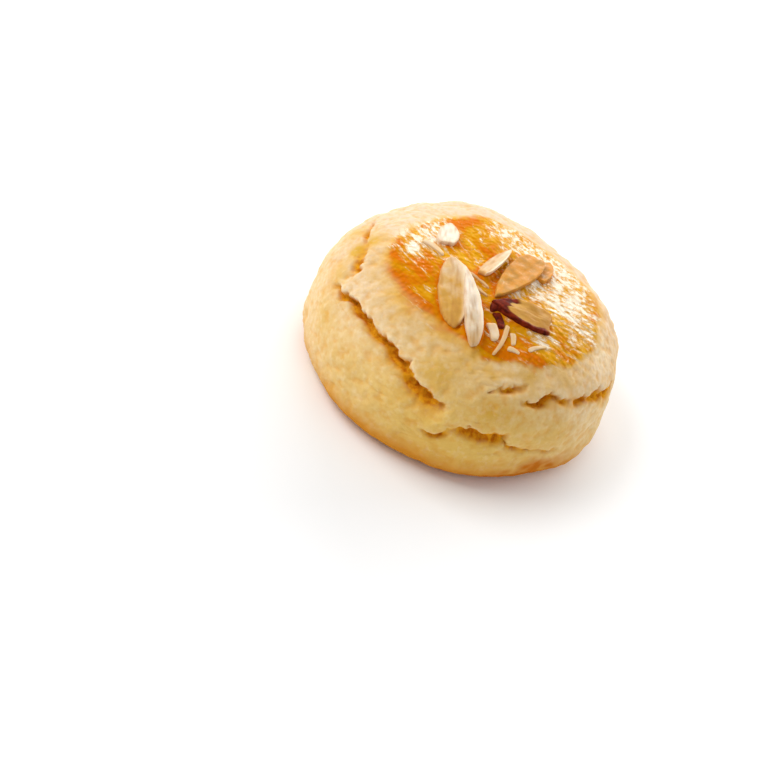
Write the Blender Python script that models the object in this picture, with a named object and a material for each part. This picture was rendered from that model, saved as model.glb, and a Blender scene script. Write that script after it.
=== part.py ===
"""Nankhatai: a thick round shortbread biscuit, flat underneath, widest just above its base and domed on top.

Its side tears into ragged cracks as it bakes, and sliced almonds lie scattered on its egg-washed top.

+Z is up, the front is -Y, and the origin is the middle of the flat base. Angles run anticlockwise from +X as
seen from above, so the front is at -90 degrees. Sizes are named in millimetres, and the finished meshes are
in metres.
"""

import math

import bmesh
import bpy
import numpy as np
from mathutils import Matrix, Vector
from mathutils.bvhtree import BVHTree

MILLIMETRE = 0.001

# The biscuit's turned form.
WIDEST_RADIUS = 27.5
TOP_HEIGHT = 23.5
DOME_POWER = 2.84  # the dome is a superellipse: 2 is a plain ellipse, and more gives it a fuller shoulder
FOOT_ROUNDING = 4.4  # the flat base rounds up into the side over this much, and there it is widest

# Its unevenness: (size of a lump, how high it stands), from broad swells to the crust's small dimples.
LUMPS = ((17.0, 0.50), (6.5, 0.30), (2.8, 0.13))
# A swell is a broad bell of extra dough: its angle in degrees and height, how far it stands out, and its two
# spreads.
SWELLS = (
    (-14, 3.0, 0.9, 20, 5.0),
    (108, 20.5, 0.7, 16, 4.0),
    (52, 18.5, -0.5, 24, 5.0),
    (146, 19.0, -0.5, 24, 4.0),
    (-38, 3.5, -0.4, 10, 4.0),
)
EGG_WASH_RADIUS = 18.5  # inside this the wash has smoothed the dough
SIDE_RADIUS = 25.5  # the side's typical radius, by which angles become distances along it

# A crack: its route as (angle in degrees, height), then its depth, its width below the lip, and the lip's
# rise.
CRACKS = {
    "front_left": (
        [
            (-158, 15.3), (-150, 15.9), (-143, 17.4), (-131, 17.6), (-118, 17.3), (-107, 16.9), (-98, 14.9),
            (-86, 13.6),
        ],
        1.8, 1.8, 0.55,
    ),
    "front_low": (
        [(-92, 8.8), (-85, 9.4), (-82, 11.0), (-76, 11.9), (-70, 11.2), (-60, 12.2)],
        1.2, 1.7, 0.2,
    ),
    "front_right_low": ([(-62, 12.4), (-59, 9.7), (-51, 8.5)], 0.8, 1.0, 0.1),
    "front_right_short": ([(-75, 17.9), (-69, 18.4), (-56, 18.9)], 0.8, 1.0, 0.1),
    "right": (
        [(-60, 17.4), (-52, 16.7), (-44, 17.8), (-37, 17.1), (-30, 16.0), (-18, 15.5), (-6, 13.4), (3, 12.6)],
        1.3, 1.5, 0.3,
    ),
    "right_low": ([(-53, 8.7), (-45, 8.6), (-36, 7.3)], 0.6, 0.8, 0.1),
    "left_shoulder": ([(-198, 17.9), (-184, 19.1), (-168, 19.2), (-158, 18.3), (-154, 16.8)], 0.8, 1.5, 0.1),
    "right_back": (
        [(12, 13.2), (21, 14.9), (33, 16.9), (46, 17.5), (58, 16.7), (67, 14.8), (78, 14.0)],
        1.5, 1.3, 0.5,
    ),
    "back_short": ([(60, 19.0), (74, 18.6), (86, 19.2)], 0.8, 0.8, 0.2),
    "back_low": ([(82, 9.4), (92, 11.1), (102, 10.4), (114, 11.8)], 1.3, 1.1, 0.3),
    "left_back": (
        [(102, 15.8), (113, 17.5), (127, 17.9), (139, 16.9), (150, 15.0), (162, 14.3)],
        1.6, 1.3, 0.5,
    ),
    "left_low": ([(160, 9.4), (170, 8.1), (182, 8.9)], 0.8, 0.8, 0.15),
}
LIP_REACH = 2.6  # how quickly a lifted lip sinks back above its crack

# The skin's grid before it is thinned to fewer triangles.
BODY_SEGMENTS = 320
BODY_RINGS = 120
BODY_TRIANGLES = 9300

# An almond flake: its middle (x, y), length, width and heading in degrees, how much it narrows from its back
# to its tip, how squarely it is snapped off behind (0 is a whole, rounded end), and how far its tip and its
# left-hand side are raised, in the order in which they fell.
FLAKES = {
    "almond_front_left": ((-5.1, -9.1), 15.0, 4.8, 110, 0.08, 0.0, 0.2, -0.3),
    "almond_front_right": ((-1.6, -11.0), 16.2, 2.6, 115, 0.7, 0.0, 0.0, -0.3),
    "almond_middle": ((-0.45, 1.1), 10.6, 2.3, 72, 0.25, 0.15, 0.0, -0.4),
    "almond_back_right": ((7.4, 5.2), 7.4, 3.8, 75, 0.25, 0.3, 0.2, -0.1),
    "almond_right": ((7.4, -7.0), 11.8, 5.2, 190, 0.4, 0.2, 0.2, 0.15),
    "almond_back": ((3.9, 0.6), 15.6, 5.0, 254, 0.4, 0.1, 0.1, 0.2),
    "almond_back_left": ((-9.6, 4.0), 6.2, 3.6, 100, 0.2, 0.15, 0.2, -0.2),
}
FLAKE_THICKNESS = 0.9
FLAKE_SEGMENTS = 26
FLAKE_RINGS = (0.4, 0.75, 1.0)
FLAKE_WAVE = 0.16  # how high the waves in a flake are
FLAKE_WAVE_SIZE = 2.0
RESTING_GAP = 0.34

# A sliver of almond or of its skin baked onto the top: its middle (x, y), length, width, thickness and
# heading.
SLIVERS = {
    "left": ((-10.9, -0.3), 4.8, 1.2, 0.9, -28),
    "middle_stick": ((-1.8, -3.9), 4.6, 0.7, 0.8, -20),
    "middle_chip": ((-0.7, -6.5), 2.4, 0.7, 0.8, -9),
    "skin": ((3.9, -10.8), 3.4, 1.6, 0.9, -56),
    "front": ((3.7, -13.7), 3.4, 2.0, 1.0, -60),
    "front_stick": ((5.5, -14.4), 6.8, 0.9, 0.9, -92),
    "front_chip": ((7.2, -13.0), 2.4, 1.1, 0.8, -68),
    "right_chip": ((8.0, -15.0), 2.2, 0.9, 0.8, 3),
    "right": ((11.5, -11.9), 4.0, 0.9, 0.8, 49),
}
SLIVER_SINK = 0.45

DOUGH_COLOUR = (0.83, 0.61, 0.33, 1.0)
ALMOND_COLOUR = (0.86, 0.71, 0.50, 1.0)


def clear_scene():
    for obj in list(bpy.data.objects):
        bpy.data.objects.remove(obj, do_unlink=True)


def plain_material(name, colour, roughness):
    material = bpy.data.materials.new(name)
    material.use_nodes = True
    shader = material.node_tree.nodes["Principled BSDF"]
    shader.inputs["Base Color"].default_value = colour
    shader.inputs["Roughness"].default_value = roughness
    shader.inputs["Metallic"].default_value = 0.0
    return material


def add_object(name, mesh):
    obj = bpy.data.objects.new(name, mesh)
    bpy.context.scene.collection.objects.link(obj)
    return obj


def smooth_noise(points, cell, seed):
    """Gradient noise from about -1 to 1: each corner of a cubic lattice has its own slope, and they blend."""
    draw = np.random.default_rng(seed)
    order = draw.permutation(256)
    slopes = draw.normal(size=(256, 3))
    slopes /= np.linalg.norm(slopes, axis=1)[:, None]
    place = points / cell + 64.0
    corner = np.floor(place).astype(int)
    inside = place - corner
    fade = inside**3 * (inside * (inside * 6 - 15) + 10)
    total = np.zeros(len(points))
    for step in np.ndindex(2, 2, 2):
        at = (corner + step) % 256
        row = order[(order[(order[at[:, 0]] + at[:, 1]) % 256] + at[:, 2]) % 256]
        weight = np.where(step, fade, 1 - fade).prod(axis=1)
        total += weight * (slopes[row] * (inside - step)).sum(axis=1)
    return 1.6 * total


def smooth_step(x, low, high):
    share = np.clip((x - low) / (high - low), 0, 1)
    return share * share * (3 - 2 * share)


def outer_profile():
    """The turned outline from the base's rim to the top's middle: a quarter circle, then a superellipse."""
    foot_turn = np.linspace(-math.pi / 2, 0, 30)
    foot = np.c_[
        WIDEST_RADIUS - FOOT_ROUNDING * (1 - np.cos(foot_turn)),
        FOOT_ROUNDING * (1 + np.sin(foot_turn)),
    ]
    climb = np.linspace(0, math.pi / 2, 400)[1:]
    dome = np.c_[
        WIDEST_RADIUS * np.cos(climb).clip(0) ** (2 / DOME_POWER),
        FOOT_ROUNDING + (TOP_HEIGHT - FOOT_ROUNDING) * np.sin(climb) ** (2 / DOME_POWER),
    ]
    dome[-1] = (0, TOP_HEIGHT)
    return np.vstack([foot, dome])


def walked(line):
    """The distance walked along a line of points, up to each of them."""
    return np.r_[0, np.cumsum(np.linalg.norm(np.diff(line, axis=0), axis=1))]


def beside_route(route, along, up):
    """How far above the route each point of the unrolled side lies, and the share of it walked there."""
    ends = walked(route)
    nearest = np.full(len(along), np.inf)
    above = np.zeros(len(along))
    share = np.zeros(len(along))
    for start, finish, begun, ended in zip(route[:-1], route[1:], ends[:-1], ends[1:]):
        run = finish - start
        t = np.clip(((along - start[0]) * run[0] + (up - start[1]) * run[1]) / (run @ run), 0, 1)
        beside = along - start[0] - t * run[0]
        over = up - start[1] - t * run[1]
        gap = np.hypot(beside, over)
        closer = gap < nearest
        nearest = np.where(closer, gap, nearest)
        above = np.where(closer, np.where(run[0] * over >= run[1] * beside, gap, -gap), above)
        share = np.where(closer, (begun + t * (ended - begun)) / ends[-1], share)
    return above, share


def crack_relief(points, angle, up, height_to_up):
    """How far the cracks sink or lift each point: steep under the lifted lip, and a slower slope below it.

    A crack's depth is a flat-topped bell across its route, narrow above and wide below. It fades at both
    ends.
    """
    fray_along = 0.9 * smooth_noise(points, 3.2, 11) + 0.25 * smooth_noise(points, 1.2, 13)
    fray_up = 0.6 * smooth_noise(points, 2.6, 12) + 0.28 * smooth_noise(points, 1.1, 14)
    uneven = 0.85 + 0.35 * smooth_noise(points, 4.0, 15)
    relief = np.zeros(len(points))
    for route, depth, width, lip in CRACKS.values():
        degrees, heights = np.array(route, float).T
        middle = math.radians(degrees.mean())
        turned = (angle - middle + math.pi) % (2 * math.pi) - math.pi
        line = np.c_[(np.radians(degrees) - middle) * SIDE_RADIUS, height_to_up(heights)]
        above, share = beside_route(line, turned * SIDE_RADIUS + fray_along, up + fray_up)
        strength = np.clip(4.5 * share * (1 - share), 0, 1) ** 0.6 * uneven
        groove = np.exp(-(np.abs(above / np.where(above > 0, 0.5 * width, width)) ** 3))
        lifted = smooth_step(above, 0, 0.7 * width) * np.exp(-np.clip(above, 0, None) / LIP_REACH)
        relief += strength * (lip * lifted - depth * groove)
    return relief


def swell_relief(angle, height):
    """How far the swells stand out: each is a bell both round the biscuit and up it."""
    relief = np.zeros(len(angle))
    for degrees, middle, rise, round_spread, up_spread in SWELLS:
        off = (np.degrees(angle) - degrees + 180) % 360 - 180
        relief += rise * np.exp(-((off / round_spread) ** 2) - ((height - middle) / up_spread) ** 2)
    return relief


def body_rings():
    """The side and dome as rings of points, from the base's rim up to the top's middle.

    The turned outline is moved along its own normal by lumps, swells and cracks. Near the base it moves only
    sideways, which leaves the base flat.
    """
    profile = outer_profile()
    distance = walked(profile)
    rows = np.linspace(0, distance[-1], BODY_RINGS + 1)
    line = np.c_[np.interp(rows, distance, profile[:, 0]), np.interp(rows, distance, profile[:, 1])]
    slope = np.gradient(line, axis=0)
    slope /= np.linalg.norm(slope, axis=1)[:, None]
    angle = np.arange(BODY_SEGMENTS) / BODY_SEGMENTS * 2 * math.pi - math.pi
    ring, turn = (grid.ravel() for grid in np.meshgrid(np.arange(BODY_RINGS + 1), angle, indexing="ij"))
    radius, height = line[ring].T
    points = np.c_[radius * np.cos(turn), radius * np.sin(turn), height]
    outward = np.c_[slope[ring, 1] * np.cos(turn), slope[ring, 1] * np.sin(turn), -slope[ring, 0]]

    def height_to_up(heights):
        return np.interp(heights, profile[:, 1], distance)

    washed = smooth_step(radius, EGG_WASH_RADIUS, EGG_WASH_RADIUS - 4)
    relief = crack_relief(points, turn, rows[ring], height_to_up) + swell_relief(turn, height)
    for seed, (cell, rise) in enumerate(LUMPS):
        relief += rise * smooth_noise(points, cell, seed) * (1 - 0.6 * washed)
    outward[:, 2] *= smooth_step(height, 0.2, 3.0)
    points += outward * relief[:, None]
    return points.reshape(BODY_RINGS + 1, BODY_SEGMENTS, 3)


def body_mesh():
    """The rings closed into one skin, with a fan of triangles at the base's middle and one at the top."""
    rings = body_rings()
    points = np.vstack([[[0, 0, 0]], *rings[:-1], rings[-1].mean(axis=0, keepdims=True)])
    here = np.arange(BODY_SEGMENTS)
    after = np.roll(here, -1)
    faces = [(0, 1 + b, 1 + a) for a, b in zip(here, after)]
    for low in range(1, 1 + (BODY_RINGS - 1) * BODY_SEGMENTS, BODY_SEGMENTS):
        high = low + BODY_SEGMENTS
        faces += [(low + a, low + b, high + b, high + a) for a, b in zip(here, after)]
    top = len(points) - 1
    faces += [(top - BODY_SEGMENTS + a, top - BODY_SEGMENTS + b, top) for a, b in zip(here, after)]
    mesh = bpy.data.meshes.new("biscuit")
    mesh.from_pydata([tuple(p) for p in points], [], [tuple(map(int, face)) for face in faces])
    return mesh


def finished_mesh(obj):
    """A plain mesh of the object as its modifiers leave it."""
    shown = obj.evaluated_get(bpy.context.evaluated_depsgraph_get())
    return bpy.data.meshes.new_from_object(shown)


def swap_mesh(obj, mesh):
    old = obj.data
    obj.modifiers.clear()
    obj.data = mesh
    bpy.data.meshes.remove(old)


def make_body():
    """The biscuit's body, thinned to the triangles that its form needs, in millimetres."""
    body = add_object("biscuit", body_mesh())
    thin = body.modifiers.new("thin", "DECIMATE")
    thin.use_collapse_triangulate = True
    thin.ratio = BODY_TRIANGLES / (2 * BODY_RINGS * BODY_SEGMENTS)
    swap_mesh(body, finished_mesh(body))
    return body


def tree_of(obj):
    """The object's finished surface, ready for rays."""
    mesh = finished_mesh(obj)
    corners = [vertex.co.copy() for vertex in mesh.vertices]
    tree = BVHTree.FromPolygons(corners, [tuple(polygon.vertices) for polygon in mesh.polygons])
    bpy.data.meshes.remove(mesh)
    return tree


def height_under(x, y, trees):
    """How high the highest of the surfaces is below a point of the plan."""
    above, down = Vector((x, y, 100)), Vector((0, 0, -1))
    hits = [tree.ray_cast(above, down)[0] for tree in trees]
    return max(hit.z for hit in hits if hit)


def almond_outline(length, width, narrowing, snapped):
    """An almond's outline: an oval drawn out to a blunt point in front, and cut off behind if snapped."""
    turn = np.arange(FLAKE_SEGMENTS) / FLAKE_SEGMENTS * 2 * math.pi
    ahead = np.cos(turn)
    side = np.sin(turn) * (1 - narrowing * ahead) * np.where(ahead > 0, np.abs(np.sin(turn)) ** 0.3, 1)
    chipped = 0.08 * np.sin(5 * turn + length)
    return np.c_[
        length / 2 * np.maximum(ahead, snapped - 1 + snapped * chipped),
        width / 2 * side,
    ]


def make_flake(name, middle, length, width, heading, narrowing, snapped, tip_rise, side_rise, trees):
    """A thin almond slice that bends lengthwise to lie on what is under it, and clears it by the resting gap.

    Its underside is a sheet of rings round its middle, which is drawn straight up to its thickness.
    """
    outline = almond_outline(length, width, narrowing, snapped)
    centre = outline.mean(axis=0)
    flat = np.vstack([centre, *(centre + (outline - centre) * share for share in FLAKE_RINGS)])
    cosine, sine = math.cos(math.radians(heading)), math.sin(math.radians(heading))
    plan = np.array(middle) + flat @ np.array([[cosine, sine], [-sine, cosine]])
    support = np.array([height_under(x, y, trees) for x, y in plan])
    ahead, aside = 2 * flat[:, 0] / length, 2 * flat[:, 1] / width
    terms = np.c_[np.ones(len(flat)), ahead, aside, ahead**2]
    lie = terms @ np.linalg.lstsq(terms, support, rcond=None)[0]
    lie += tip_rise * ahead + side_rise * aside
    lie += FLAKE_WAVE * smooth_noise(np.c_[flat + middle, np.zeros(len(flat))], FLAKE_WAVE_SIZE, 31)
    lie += (support - lie).max() + RESTING_GAP
    form = bmesh.new()
    corners = [form.verts.new((x, y, z)) for (x, y), z in zip(plan, lie)]
    rings = [corners[1 + i * FLAKE_SEGMENTS:1 + (i + 1) * FLAKE_SEGMENTS] for i in range(len(FLAKE_RINGS))]
    for i in range(FLAKE_SEGMENTS):
        j = (i + 1) % FLAKE_SEGMENTS
        form.faces.new((corners[0], rings[0][i], rings[0][j]))
        for inner, outer in zip(rings[:-1], rings[1:]):
            form.faces.new((inner[i], outer[i], outer[j], inner[j]))
    drawn = bmesh.ops.extrude_face_region(form, geom=form.faces[:])["geom"]
    raised = [corner for corner in drawn if isinstance(corner, bmesh.types.BMVert)]
    bmesh.ops.translate(form, vec=(0, 0, FLAKE_THICKNESS), verts=raised)
    bmesh.ops.recalc_face_normals(form, faces=form.faces[:])
    mesh = bpy.data.meshes.new(name)
    form.to_mesh(mesh)
    form.free()
    return add_object(name, mesh)


def make_sliver(name, middle, length, width, thickness, heading, body_tree):
    """A tapered stick with chamfered edges, sunk a little into the dough and leaning as it does there."""
    x, y = middle
    step = 1.5
    rise_x = height_under(x + step, y, [body_tree]) - height_under(x - step, y, [body_tree])
    rise_y = height_under(x, y + step, [body_tree]) - height_under(x, y - step, [body_tree])
    normal = Vector((-rise_x, -rise_y, 2 * step)).normalized()
    ahead = Vector((math.cos(math.radians(heading)), math.sin(math.radians(heading)), 0))
    ahead = (ahead - ahead.dot(normal) * normal).normalized()
    turn = Matrix((ahead, normal.cross(ahead), normal)).transposed().to_4x4()
    centre = Vector((x, y, height_under(x, y, [body_tree]))) + normal * (thickness / 2 - SLIVER_SINK)
    form = bmesh.new()
    bmesh.ops.create_cube(form, size=1, matrix=Matrix.Diagonal((length, width, thickness, 1)))
    bmesh.ops.scale(form, vec=(1, 0.55, 0.8), verts=[v for v in form.verts if v.co.x > 0])
    bmesh.ops.bevel(form, geom=form.edges[:], offset=0.2 * min(width, thickness), segments=1, affect="EDGES")
    form.transform(Matrix.Translation(centre) @ turn)
    mesh = bpy.data.meshes.new(name)
    form.to_mesh(mesh)
    form.free()
    return add_object(name, mesh)


def fuse_slivers(body):
    """One union joins every sliver to the body, and the loose slivers are then removed."""
    tree = tree_of(body)
    loose = bpy.data.collections.new("slivers")
    bpy.context.scene.collection.children.link(loose)
    for name, sizes in SLIVERS.items():
        sliver = make_sliver("sliver_" + name, *sizes, tree)
        bpy.context.scene.collection.objects.unlink(sliver)
        loose.objects.link(sliver)
    fuse = body.modifiers.new("slivers", "BOOLEAN")
    fuse.operation = "UNION"
    fuse.operand_type = "COLLECTION"
    fuse.collection = loose
    fuse.solver = "EXACT"
    swap_mesh(body, finished_mesh(body))
    for sliver in list(loose.objects):
        bpy.data.objects.remove(sliver, do_unlink=True)
    bpy.data.collections.remove(loose)


def finish(obj, material):
    """Turns the object's mesh from millimetres to metres and gives it its material."""
    obj.data.transform(Matrix.Scale(MILLIMETRE, 4))
    obj.data.materials.clear()
    obj.data.materials.append(material)
    obj.data.shade_smooth()


def main():
    clear_scene()
    dough = plain_material("baked_dough", DOUGH_COLOUR, 0.75)
    almond = plain_material("sliced_almond", ALMOND_COLOUR, 0.5)
    body = make_body()
    fuse_slivers(body)
    trees = [tree_of(body)]
    flakes = []
    for name, sizes in FLAKES.items():
        flakes.append(make_flake(name, *sizes, trees))
        trees.append(tree_of(flakes[-1]))
    finish(body, dough)
    for flake in flakes:
        finish(flake, almond)
        flake.data.set_sharp_from_angle(angle=math.radians(50))


main()
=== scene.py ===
"""A nankhatai: a thick round shortbread biscuit with a cracked side, an egg-washed top and sliced almonds.

Sizes are in millimetres and angles in degrees, anticlockwise from +X seen from above, so the front is at -90.
The origin is the middle of the flat base and +Z is up. A mesh is turned to metres as it is made.
"""

import math

import bpy
import numpy as np
from mathutils import Matrix, Vector


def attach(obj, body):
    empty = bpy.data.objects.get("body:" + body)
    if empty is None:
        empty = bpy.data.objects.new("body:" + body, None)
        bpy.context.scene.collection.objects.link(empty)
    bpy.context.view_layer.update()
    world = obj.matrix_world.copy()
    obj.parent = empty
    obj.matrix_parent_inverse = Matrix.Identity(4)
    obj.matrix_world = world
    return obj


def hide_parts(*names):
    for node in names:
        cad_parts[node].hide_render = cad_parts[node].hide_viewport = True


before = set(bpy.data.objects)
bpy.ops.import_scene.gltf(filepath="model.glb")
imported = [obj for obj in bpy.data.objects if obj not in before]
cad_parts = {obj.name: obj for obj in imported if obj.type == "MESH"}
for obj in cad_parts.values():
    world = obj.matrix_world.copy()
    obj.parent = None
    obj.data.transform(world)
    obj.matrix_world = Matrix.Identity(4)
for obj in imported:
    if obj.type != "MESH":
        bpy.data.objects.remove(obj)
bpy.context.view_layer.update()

# -----------------------------------------------------------------------------------------------------------
# The biscuit. A ball of shortbread dough, of flour, sugar and ghee, pressed a little flat and baked on a
# tray: its side tears open, its foot browns on the hot metal, and its top is brushed with beaten egg.
# -----------------------------------------------------------------------------------------------------------

MILLIMETRE = 0.001

WIDEST_RADIUS = 27.5
TOP_HEIGHT = 23.5
DOME_POWER = 2.84  # the dome is a superellipse: 2 is a plain ellipse, and more gives it a fuller shoulder
FOOT_ROUNDING = 4.4  # the flat base rounds up into the side over this much, and there it is widest

# The crust's unevenness: (size of a lump, how high it stands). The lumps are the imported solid's own. The
# crumbs are the short dough's sandy grain, with a crease between one and the next, which a solid of few
# faces can't hold. On the crust and, on top of that, in an open crack they stand this many times as high.
LUMPS = ((17.0, 0.50), (6.5, 0.30), (2.8, 0.13))
CRUMBS = ((2.2, 0.10), (1.15, 0.10), (0.6, 0.06))
CRUMBS_ON_CRUST = 1.2
CRUMBS_IN_CRACKS = 3
# Hairline fissures run round the side in patches, each along a line where a noise passes through 0.
FISSURE_DEPTH = 0.14
FISSURE_WIDTH = 0.09  # the noise on either side of the line at which the fissure ends
FISSURE_SPACING = 1.5
FISSURE_STRETCH = 4  # how much longer they are than they are apart
# A swell is a broad bell of extra dough: its angle and height, how far it stands out, and its two spreads.
SWELLS = (
    (-14, 3.0, 0.9, 20, 5.0),
    (108, 20.5, 0.7, 16, 4.0),
    (52, 18.5, -0.5, 24, 5.0),
    (146, 19.0, -0.5, 24, 4.0),
    (-38, 3.5, -0.4, 10, 4.0),
)
EGG_WASH_RADIUS = 18.5  # inside this the wash has smoothed the dough
EGG_WASH_FEATHER = 4
EGG_WASH_EVENS = 0.6  # the share of the lumps and of the grain that it evens out
SIDE_RADIUS = 25.5  # the side's typical radius, by which angles become distances along it

# A crack: its route as (angle, height), then its depth, its width below the lip, and the lip's rise.
CRACKS = {
    "front_left": (
        [
            (-158, 15.3), (-150, 15.9), (-143, 17.4), (-131, 17.6),
            (-118, 17.3), (-107, 16.9), (-98, 14.9), (-86, 13.6),
        ],
        1.8, 1.8, 0.55,
    ),
    "front_low": (
        [(-92, 8.8), (-85, 9.4), (-82, 11.0), (-76, 11.9), (-70, 11.2), (-60, 12.2)],
        1.2, 1.7, 0.2,
    ),
    "front_right_low": ([(-62, 12.4), (-59, 9.7), (-51, 8.5)], 0.8, 1.0, 0.1),
    "front_right_short": ([(-75, 17.9), (-69, 18.4), (-56, 18.9)], 0.8, 1.0, 0.1),
    "right": (
        [
            (-60, 17.4), (-52, 16.7), (-44, 17.8), (-37, 17.1),
            (-30, 16.0), (-18, 15.5), (-6, 13.4), (3, 12.6),
        ],
        1.3, 1.5, 0.3,
    ),
    "right_low": ([(-53, 8.7), (-45, 8.6), (-36, 7.3)], 0.6, 0.8, 0.1),
    "left_shoulder": ([(-198, 17.9), (-184, 19.1), (-168, 19.2), (-158, 18.3), (-154, 16.8)], 0.8, 1.5, 0.1),
    "right_back": (
        [(12, 13.2), (21, 14.9), (33, 16.9), (46, 17.5), (58, 16.7), (67, 14.8), (78, 14.0)],
        1.5, 1.3, 0.5,
    ),
    "back_short": ([(60, 19.0), (74, 18.6), (86, 19.2)], 0.8, 0.8, 0.2),
    "back_low": ([(82, 9.4), (92, 11.1), (102, 10.4), (114, 11.8)], 1.3, 1.1, 0.3),
    "left_back": (
        [(102, 15.8), (113, 17.5), (127, 17.9), (139, 16.9), (150, 15.0), (162, 14.3)],
        1.6, 1.3, 0.5,
    ),
    "left_low": ([(160, 9.4), (170, 8.1), (182, 8.9)], 0.8, 0.8, 0.15),
}
LIP_REACH = 2.6  # how quickly a lifted lip sinks back above its crack
LIP_OVERHANG = 0.2  # how far the lifted lip hangs down over its crack
GROOVE_ABOVE = 0.4  # how far a crack reaches above its route, as a share of its width, and how far below it
GROOVE_BELOW = 0.9
GROOVE_SQUARENESS = 2.4  # 2 is a plain bell, and more gives the crack a flatter floor and steeper walls
# How ragged the cracks are, as layers of noise, each with a size, a strength and a seed: how far a crack
# strays along and across its route, how its upper edge frays, and how its depth and the gold below it vary.
STRAYS_ALONG = ((3.2, 0.9, 11), (1.2, 0.4, 13))
STRAYS_ACROSS = ((2.6, 0.6, 12),)
EDGE_FRAYS = ((1.1, 0.45, 14), (0.55, 0.2, 16))
DEPTH_VARIES = ((3.0, 0.75, 15),)
GOLD_VARIES = ((1.7, 0.8, 17),)

# The egg wash: where it was brushed on, and how its edge wanders, as layers of noise.
WASH_MIDDLE = (1.2, -2.0)
WASH_REACH = 17.7
WASH_STRETCH = 1.2  # it reaches this much further to the left and right, and less to the front and back
WASH_WANDERS = ((5.0, 0.9, 21), (1.6, 0.65, 22))
WASH_HEIGHTS = (12, 15)  # it ends between these heights, wherever its edge is
WASH_THIN = (-2.2, 0.5)  # round this angle, over this spread, both in radians, it ran out thin
WASH_SMEAR = (38, 32, 2.6)  # round this angle, over this spread, it was brushed out this much further
# How soft its edge is all round, and how much softer at the left, where it ran out thin, and where smeared.
WASH_SOFTNESS = (0.6, 0.9, 1.0, 1.5)
WASH_RIM = 1.16  # its thick edge starts where a patch so many times smaller would end
WASH_RUN = 0.88  # and its stain ends where a patch as much larger would end
WASH_THICKNESS = 0.14
SWEEP_MIDDLE = (6, 20)  # the brush swept in arcs round this point
# Where the brush ran dry and left streaks of dough bare, whose palest flecks are painted glints, set most
# at the back and right, towards the strip light; with a minus, where it left none; and where the wash lies
# thick: the middle (x, y) of each patch, its reach, and how strongly.
BARE_AND_GLINTS = (
    ((15.5, 1.0), 7.0, 0.75),
    ((10.0, 9.0), 5.5, 0.85),
    ((0.0, 12.5), 5.5, 0.7),
    ((-14.0, 5.0), 5.5, 0.9),
    ((-14.5, -2.0), 3.5, 0.8),
    ((7.5, 0.5), 5.0, 0.5),
    ((12.0, -10.0), 4.0, 0.6),
    ((-7.5, 9.5), 3.0, -0.8),
)
PUDDLES = (
    ((-7.5, 9.5), 3.2, 0.6),
    ((-12.0, -7.0), 5.5, 0.4),
    ((8.3, 6.0), 2.0, 0.5),
    ((1.0, -4.5), 2.5, 0.4),
    ((5.0, -12.5), 5.5, 0.45),
)

LAST_STROKE = -115  # the side to which the brush pushed the wash, which stands thick along its edge there
# Painted shade: the dough is painted a deeper gold on the side turned away from the softboxes.
GOLDEN_SIDE = -80  # the side painted a deeper gold, which comes in downwards between these heights
GOLDEN_HEIGHTS = (25, 11)
# Painted highlight: the top is painted paler on the side towards the strip light behind it.
HIGHLIGHT_SIDE = 95  # the side of the top painted palest, which comes in upwards between these heights
HIGHLIGHT_HEIGHTS = (11, 18)
FOOT_BROWNED = 4.5  # the foot browned up to this height, and to this much more on the golden side
FOOT_BROWNED_MORE = 3
# Where the side baked darker: the angle and height of each patch, how strongly, and its two spreads.
TANNED = (
    (-69, 15.3, 0.9, 9, 1.8),
    (-94, 17.8, 0.85, 9, 2.2),
    (-40, 11.5, 0.6, 7, 2.5),
    (-150, 12.0, 0.4, 9, 2.5),
    (-170, 18.4, 1.4, 5, 1.1),
    (-178, 20.0, 1.1, 5, 0.9),
    (-160, 16.0, 0.8, 8, 1.5),
    (-186, 17.0, 0.7, 5, 2.0),
)
SCORCHED = (
    (-44, 3.6, 1.0, 14, 2.4),
    (-64, 1.2, 1.2, 16, 1.5),
)
# And where it is painted paler, a painted highlight on the right side, in the pale colour of the lips.
PAINTED_PALER = (
    (-3, 18.8, 1.2, 12, 2.2),
    (-25, 14.5, 0.6, 12, 2.0),
    (-20, 10.5, 0.5, 14, 2.5),
)

BISCUIT_AROUND = 500
BISCUIT_BASE_ROWS = 12
BISCUIT_SKIN_ROWS = 182
CRACKED_FROM = (4, 8)  # the cracks lie between these heights, and the rows are twice as close there
CRACKED_TO = (21, 19)
CROWDING_STEPS = 2000  # the steps in which their crowding is added up
# The points of the turned outline, between which the rows are then placed.
OUTLINE_BASE = 40
OUTLINE_FOOT = 30
OUTLINE_DOME = 400


def smooth_noise(points, cell, seed):
    """Gradient noise from about -1 to 1: each corner of a cubic lattice has its own slope, and they blend."""
    draw = np.random.default_rng(seed)
    order = draw.permutation(256)
    slopes = draw.normal(size=(256, 3))
    slopes /= np.linalg.norm(slopes, axis=1)[:, None]
    place = points / cell + 64.0
    corner = np.floor(place).astype(int)
    inside = place - corner
    fade = inside**3 * (inside * (inside * 6 - 15) + 10)
    total = np.zeros(len(points))
    for step in np.ndindex(2, 2, 2):
        at = (corner + step) % 256
        row = order[(order[(order[at[:, 0]] + at[:, 1]) % 256] + at[:, 2]) % 256]
        weight = np.where(step, fade, 1 - fade).prod(axis=1)
        total += weight * (slopes[row] * (inside - step)).sum(axis=1)
    return 1.6 * total


def layered_noise(points, layers):
    """The sum of some layers of noise, each with its own size, strength and seed."""
    return sum(strength * smooth_noise(points, cell, seed) for cell, strength, seed in layers)


def smooth_step(x, low, high):
    """0 below low, 1 above high, and an S-shaped climb between them; low may be the larger one."""
    share = np.clip((x - low) / (high - low), 0, 1)
    return share * share * (3 - 2 * share)


def walked(line):
    """The distance walked along a line of points, up to each of them."""
    return np.r_[0, np.cumsum(np.linalg.norm(np.diff(line, axis=0), axis=1))]


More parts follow.
